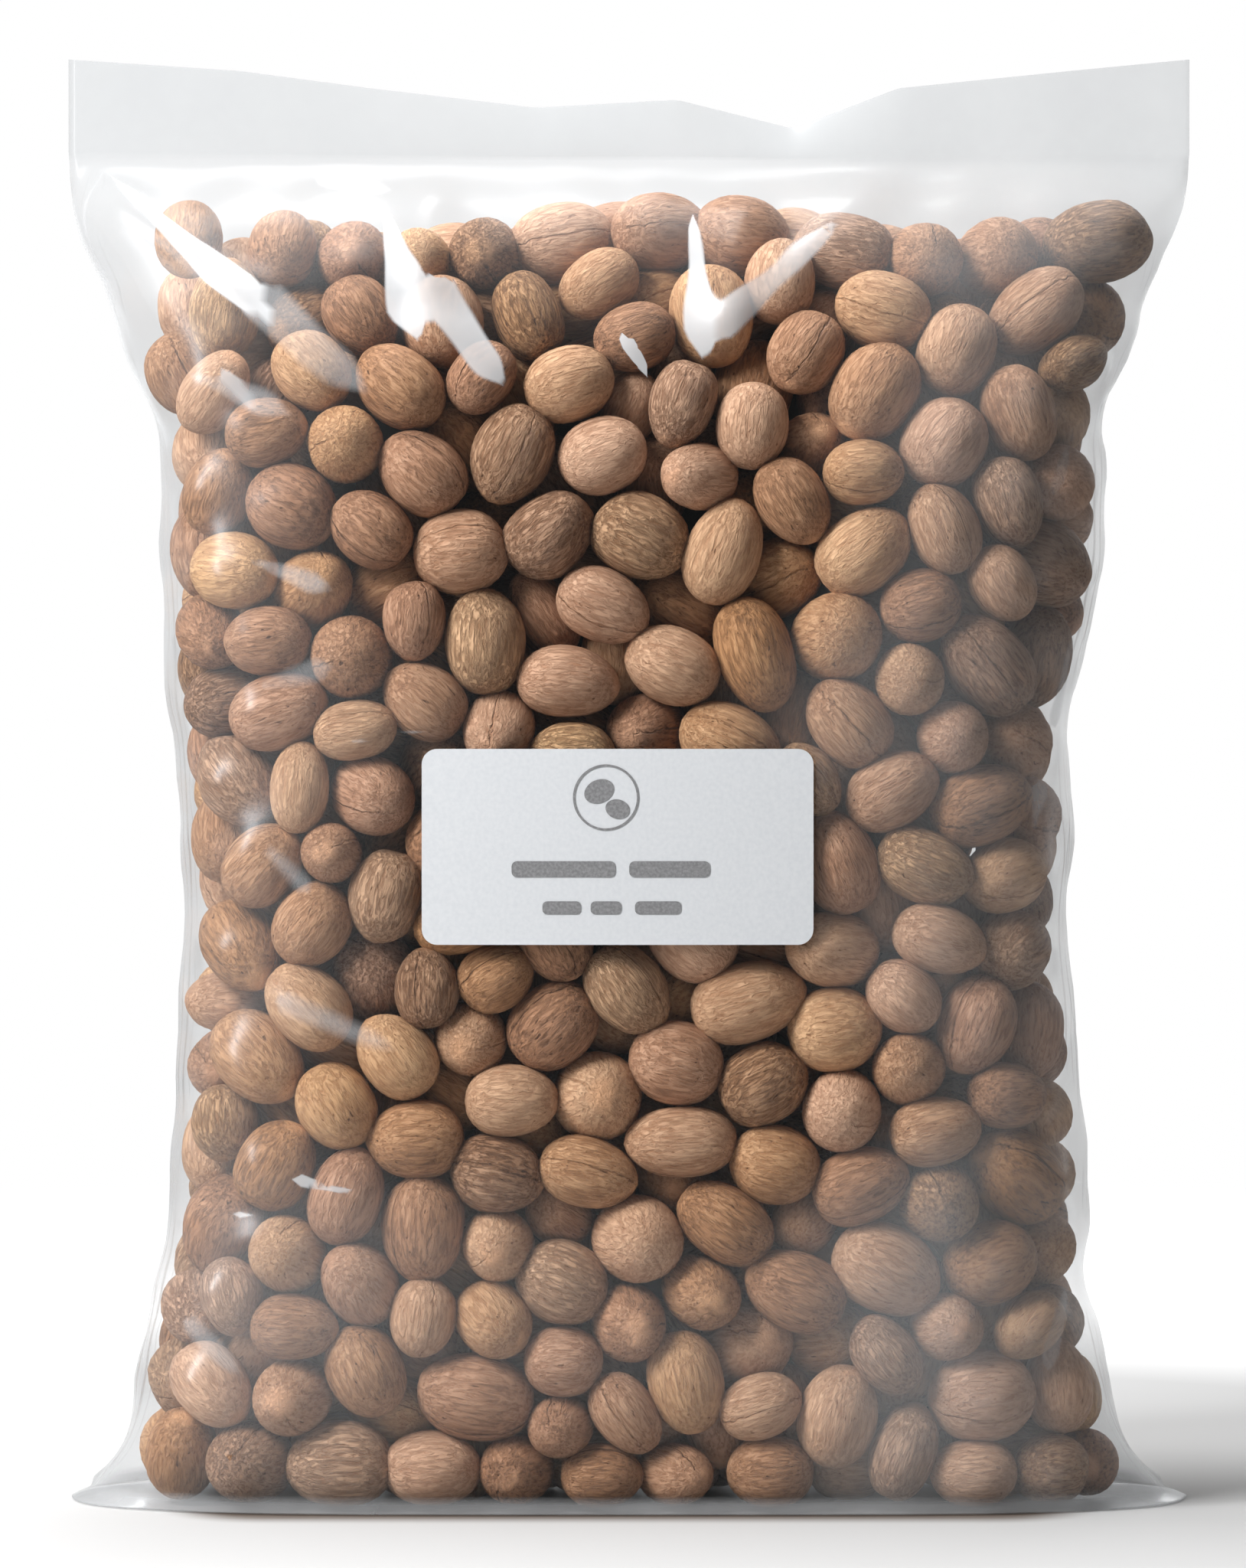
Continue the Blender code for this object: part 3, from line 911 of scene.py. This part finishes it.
def nut_finish(name, skin, colours, line_depth, bump):
    material, tree, shader = new_material(name)
    links = tree.links
    place = add_node(tree, "ShaderNodeAttribute", attribute_name="nut_place")
    tint = add_node(tree, "ShaderNodeAttribute", attribute_name="nut_tint")
    look = add_node(tree, "ShaderNodeGroup", node_tree=skin)
    look.inputs["Line depth"].default_value = line_depth
    links.new(place.outputs["Vector"], look.inputs["Place"])
    links.new(tint.outputs["Fac"], look.inputs["Tint"])
    dark, mid, light, tip = colours
    brown = ramp(tree, ((0.0, dark), (0.42, mid), (1.0, light)))
    links.new(look.outputs["Tone"], brown.inputs["Fac"])
    mix = add_node(tree, "ShaderNodeMix", data_type="RGBA")
    mix.inputs["B"].default_value = (*tip, 1.0)
    links.new(look.outputs["Pale end"], mix.inputs["Factor"])
    links.new(brown.outputs["Color"], mix.inputs["A"])
    own_share = math_node(tree, "FRACT", math_node(tree, "MULTIPLY", tint.outputs["Fac"], 7.3))
    hue = ramp(tree, NUT_HUES)
    links.new(own_share, hue.inputs["Fac"])
    hued = add_node(tree, "ShaderNodeMix", data_type="RGBA", blend_type="MULTIPLY")
    hued.inputs["Factor"].default_value = 1.0
    links.new(mix.outputs["Result"], hued.inputs["A"])
    links.new(hue.outputs["Color"], hued.inputs["B"])
    links.new(hued.outputs["Result"], shader.inputs["Base Color"])
    set_values(shader, {"Roughness": 0.62, "Specular IOR Level": 0.3})
    relief = add_node(tree, "ShaderNodeBump")
    set_values(relief, {"Strength": bump, "Distance": 0.0005})
    links.new(look.outputs["Height"], relief.inputs["Height"])
    links.new(relief.outputs["Normal"], shader.inputs["Normal"])
    return material


def cloud(tree, vector, scale, detail=2.0):
    """Noise at this scale over these coordinates."""
    node = add_node(tree, "ShaderNodeTexNoise")
    set_values(node, {"Scale": scale, "Detail": detail})
    tree.links.new(vector, node.inputs["Vector"])
    return node.outputs["Fac"]


def speckled_finish(name, scale, stops, roughness):
    """One colour shading into another in fine specks."""
    material, tree, shader = new_material(name)
    where = add_node(tree, "ShaderNodeTexCoord")
    colours = ramp(tree, stops)
    tree.links.new(cloud(tree, where.outputs["Object"], scale), colours.inputs["Fac"])
    tree.links.new(colours.outputs["Color"], shader.inputs["Base Color"])
    shader.inputs["Roughness"].default_value = roughness
    return material


def own_field(tree, name):
    """One of the film's own values, stored at its points."""
    return add_node(tree, "ShaderNodeAttribute", attribute_name=name).outputs["Fac"]


# Painted highlight lines beside each side fold: distance from the fold, half width, strength
PAINTED_RIM_HIGHLIGHTS = (
    (0.0008, 0.0009, 0.3),
    (0.0046, 0.001, 0.26),
    (0.009, 0.0017, 0.34),
    (0.0138, 0.0008, 0.2),
)


def painted_rim_highlights(tree, from_fold, wobble):
    """Thin pale lines of painted highlight that run beside the side folds."""
    total = None
    for way, width, strength in PAINTED_RIM_HIGHLIGHTS:
        off = math_node(tree, "SUBTRACT", math_node(tree, "ADD", from_fold, wobble), way)
        line = fade(tree, math_node(tree, "ABSOLUTE", off), width, 0.0)
        line = math_node(tree, "MULTIPLY", line, strength)
        total = line if total is None else math_node(tree, "MAXIMUM", total, line)
    return total


def film_finish():
    """Clear film: sheer where it is clean, with mirror glints, a milky share and painted
    highlights.
    """
    material, tree, shader = new_material("clear_film")
    links = tree.links
    where = add_node(tree, "ShaderNodeTexCoord")
    place = add_node(tree, "ShaderNodeSeparateXYZ")
    links.new(where.outputs["Object"], place.inputs["Vector"])
    smear = cloud(tree, where.outputs["Object"], 22.0, 4.0)
    smear_share = math_node(tree, "MULTIPLY_ADD", smear, 1.1, 0.45)
    # The film's own milkiness with the painted reflection veil; the painted highlights join it
    # below.
    milk_and_painted_light = math_node(tree, "MULTIPLY", own_field(tree, "haze_and_painted_veil"), smear_share)
    ragged = cloud(tree, where.outputs["Object"], 42.0, 1.0)
    wobble = math_node(tree, "MULTIPLY_ADD", ragged, 0.007, -0.0035)
    # Painted highlights: pale patches and fold lines added to the film's milky share, fading at
    # grazing views.
    edge = math_node(tree, "MULTIPLY_ADD", wobble, 700.0, own_field(tree, "painted_glint_inside"))
    edge = math_node(tree, "DIVIDE", edge, own_field(tree, "painted_glint_soft"))
    strength = own_field(tree, "painted_glint_strength")
    sheen = math_node(tree, "MULTIPLY", fade(tree, edge, 0.0, 1.0), strength)
    rim = painted_rim_highlights(tree, own_field(tree, "from_fold"), wobble)
    rim = math_node(tree, "MULTIPLY", rim, fade(tree, smear, 0.30, 0.62))
    below_seal = fade(tree, place.outputs["Z"], SEAL_HEIGHT, SEAL_HEIGHT - 0.004)
    rim = math_node(tree, "MULTIPLY", rim, below_seal)
    fresnel = add_node(tree, "ShaderNodeFresnel")
    fresnel.inputs["IOR"].default_value = 1.5
    sheen = math_node(tree, "MULTIPLY", sheen, fade(tree, fresnel.outputs["Fac"], 0.40, 0.14))
    uneven = math_node(tree, "MULTIPLY_ADD", smear, 0.8, 0.55)
    painted_highlight = math_node(tree, "MULTIPLY", math_node(tree, "MAXIMUM", rim, sheen), uneven)
    milk_and_painted_light = math_node(tree, "MAXIMUM", milk_and_painted_light, painted_highlight)
    mirror = math_node(tree, "MINIMUM", fresnel.outputs["Fac"], 0.20)
    calm = fade(tree, place.outputs["Z"], SEAL_HEIGHT - 0.004, SEAL_HEIGHT - 0.075)
    mirror = math_node(tree, "MULTIPLY", mirror, math_node(tree, "MULTIPLY_ADD", calm, 0.90, 0.10))
    total = math_node(tree, "ADD", milk_and_painted_light, mirror)
    total = math_node(tree, "MINIMUM", total, 1.0)
    share = math_node(tree, "DIVIDE", mirror, math_node(tree, "ADD", total, 0.001))
    colours = ramp(tree, ((0.0, (0.465, 0.478, 0.49)), (0.8, (0.50, 0.505, 0.515))))
    links.new(painted_highlight, colours.inputs["Fac"])
    links.new(colours.outputs["Color"], shader.inputs["Base Color"])
    shader.inputs["Roughness"].default_value = 0.26
    links.new(share, shader.inputs["Metallic"])
    clear = add_node(tree, "ShaderNodeBsdfTransparent")
    clear.inputs["Color"].default_value = (0.965, 0.969, 0.973, 1.0)
    mix = add_node(tree, "ShaderNodeMixShader")
    links.new(total, mix.inputs["Fac"])
    links.new(clear.outputs["BSDF"], mix.inputs[1])
    links.new(shader.outputs["BSDF"], mix.inputs[2])
    path = add_node(tree, "ShaderNodeLightPath")
    lit = add_node(tree, "ShaderNodeBsdfTransparent")
    lit.inputs["Color"].default_value = (0.77, 0.775, 0.78, 1.0)
    outer = add_node(tree, "ShaderNodeMixShader")
    links.new(path.outputs["Is Shadow Ray"], outer.inputs["Fac"])
    links.new(mix.outputs["Shader"], outer.inputs[1])
    links.new(lit.outputs["BSDF"], outer.inputs[2])
    links.new(outer.outputs["Shader"], tree.nodes["Material Output"].inputs["Surface"])
    return material


# Floor, light and camera ------------------------------------------------------------------

def make_floor():
    bm = bmesh.new()
    bmesh.ops.create_grid(bm, x_segments=1, y_segments=1, size=6.0)
    material, tree, shader = new_material("white_floor")
    links = tree.links
    set_values(shader, {"Roughness": 0.9, "Specular IOR Level": 0.0})
    where = add_node(tree, "ShaderNodeTexCoord")
    apart = add_node(tree, "ShaderNodeVectorMath", operation="LENGTH")
    links.new(where.outputs["Object"], apart.inputs[0])
    colour = ramp(tree, ((0.0, (0.515, 0.515, 0.515)), (1.0, (0.0, 0.0, 0.0))))
    links.new(fade(tree, apart.outputs["Value"], 0.50, 1.10), colour.inputs["Fac"])
    # Painted contact shadow: the floor's colour darkens to a dark brown under and close round the
    # bag's footprint.
    place = add_node(tree, "ShaderNodeSeparateXYZ")
    links.new(where.outputs["Object"], place.inputs["Vector"])
    off_x = math_node(tree, "SUBTRACT", math_node(tree, "ABSOLUTE", place.outputs["X"]), 0.094)
    off_y = math_node(tree, "SUBTRACT", math_node(tree, "ABSOLUTE", place.outputs["Y"]), 0.024)
    off = add_node(tree, "ShaderNodeCombineXYZ")
    links.new(math_node(tree, "MAXIMUM", off_x, 0.0), off.inputs["X"])
    links.new(math_node(tree, "MAXIMUM", off_y, 0.0), off.inputs["Y"])
    clear_of_bag = add_node(tree, "ShaderNodeVectorMath", operation="LENGTH")
    links.new(off.outputs["Vector"], clear_of_bag.inputs[0])
    clear_of_painted_shadow = fade(tree, clear_of_bag.outputs["Value"], 0.014, 0.031)
    shade = add_node(tree, "ShaderNodeMix", data_type="RGBA")
    shade.inputs["A"].default_value = (0.150, 0.122, 0.104, 1.0)
    links.new(clear_of_painted_shadow, shade.inputs["Factor"])
    links.new(colour.outputs["Color"], shade.inputs["B"])
    links.new(shade.outputs["Result"], shader.inputs["Base Color"])
    path = add_node(tree, "ShaderNodeLightPath")
    camera_ray = path.outputs["Is Camera Ray"]
    seen = math_node(tree, "MULTIPLY_ADD", path.outputs["Is Glossy Ray"], 0.3, camera_ray)
    seen = math_node(tree, "MINIMUM", seen, 1.0)
    lift = fade(tree, apart.outputs["Value"], 0.24, 0.56)
    # Painted light: behind the bag the floor glows a little for the camera, lightening the cast
    # shadow there.
    behind = math_node(tree, "MULTIPLY", fade(tree, place.outputs["Y"], 0.0, 0.12), 0.15)
    lift = math_node(tree, "MAXIMUM", lift, behind)
    strength = math_node(tree, "MULTIPLY", math_node(tree, "MULTIPLY", lift, seen), clear_of_painted_shadow)
    shader.inputs["Emission Color"].default_value = (1.0, 1.0, 1.0, 1.0)
    links.new(strength, shader.inputs["Emission Strength"])
    new_object("floor", bm, material)


def make_world():
    world = bpy.data.worlds.new("studio")
    bpy.context.scene.world = world
    world.use_nodes = True
    tree = world.node_tree
    tree.nodes.clear()
    links = tree.links
    out = tree.nodes.new("ShaderNodeOutputWorld")
    path = tree.nodes.new("ShaderNodeLightPath")
    where = add_node(tree, "ShaderNodeTexCoord")
    split = add_node(tree, "ShaderNodeSeparateXYZ")
    links.new(where.outputs["Generated"], split.inputs["Vector"])
    room = add_node(tree, "ShaderNodeMapRange")
    set_values(room, {"From Min": -0.9, "From Max": 0.1, "To Min": 0.05, "To Max": 0.95})
    links.new(split.outputs["Y"], room.inputs["Value"])
    soft = add_node(tree, "ShaderNodeBackground")
    soft.inputs["Strength"].default_value = 0.175
    gloss = add_node(tree, "ShaderNodeBackground")
    links.new(room.outputs["Result"], gloss.inputs["Strength"])
    seen = add_node(tree, "ShaderNodeBackground")
    seen.inputs["Strength"].default_value = 1.0
    for node in (soft, gloss, seen):
        node.inputs["Color"].default_value = (1.0, 1.0, 1.0, 1.0)
    inner = add_node(tree, "ShaderNodeMixShader")
    outer = add_node(tree, "ShaderNodeMixShader")
    links.new(path.outputs["Is Glossy Ray"], inner.inputs["Fac"])
    links.new(soft.outputs[0], inner.inputs[1])
    links.new(gloss.outputs[0], inner.inputs[2])
    links.new(path.outputs["Is Camera Ray"], outer.inputs["Fac"])
    links.new(inner.outputs[0], outer.inputs[1])
    links.new(seen.outputs[0], outer.inputs[2])
    links.new(outer.outputs[0], out.inputs["Surface"])


LAMPS = (
    # name, place, size, watts
    ("key", (-0.72, -0.50, 0.88), (0.42, 0.42), 17.6),
    ("overhead", (-0.10, 0.05, 0.95), (0.45, 0.25), 6.6),
    ("left", (-1.20, -0.60, 0.55), (0.16, 0.40), 8.2),
    ("back", (0.30, 1.30, 0.75), (0.80, 0.60), 5.0),
)
LAMP_AIM = Vector((0.0, 0.0, 0.18))

CAMERA_AIM = Vector((-0.0016, 0.0, 0.1905))
CAMERA_DISTANCE = 1.5
CAMERA_RISE = 0.010
VIEW_HEIGHT = 0.419         # height of the view where the bag stands
SENSOR_HEIGHT = 36.0


def add_lamp(name, place, size, power):
    data = bpy.data.lights.new(name, "AREA")
    data.shape = "RECTANGLE"
    data.size = size[0]
    data.size_y = size[1]
    data.energy = power
    lamp = link_object(name, data)
    lamp.location = place
    lamp.rotation_euler = (LAMP_AIM - Vector(place)).to_track_quat("-Z", "Y").to_euler()


def make_camera():
    data = bpy.data.cameras.new("camera")
    data.sensor_fit = "VERTICAL"
    data.sensor_height = SENSOR_HEIGHT
    data.lens = SENSOR_HEIGHT * CAMERA_DISTANCE / VIEW_HEIGHT
    camera = link_object("camera", data)
    place = CAMERA_AIM + Vector((0.0, -CAMERA_DISTANCE, CAMERA_RISE))
    camera.location = place
    camera.rotation_euler = (CAMERA_AIM - place).to_track_quat("-Z", "Y").to_euler()
    bpy.context.scene.camera = camera


def main():
    bpy.context.scene.view_settings.view_transform = "Standard"
    settled = settle_nutmegs()
    skin = nut_skin()
    finishes = {
        "plain": nut_finish("nutmeg_shell", skin, PLAIN_BROWNS, 0.8, 0.85),
        "wrinkled": nut_finish("nutmeg_shell_wrinkled", skin, WRINKLED_BROWNS, 1.2, 1.0),
    }
    make_nutmegs(settled, finishes)
    make_core(speckled_finish("painted_shade_between_nutmegs", 120.0, CORE_PAINTED_SHADES, 0.9))
    make_film(settled, film_finish())
    make_label(speckled_finish("label_paper", 900.0, PAPER_WHITES, 0.42))
    make_print(speckled_finish("grey_ink", 1400.0, INK_GREYS, 0.5))
    make_floor()
    make_world()
    for lamp in LAMPS:
        add_lamp(*lamp)
    make_camera()


main()
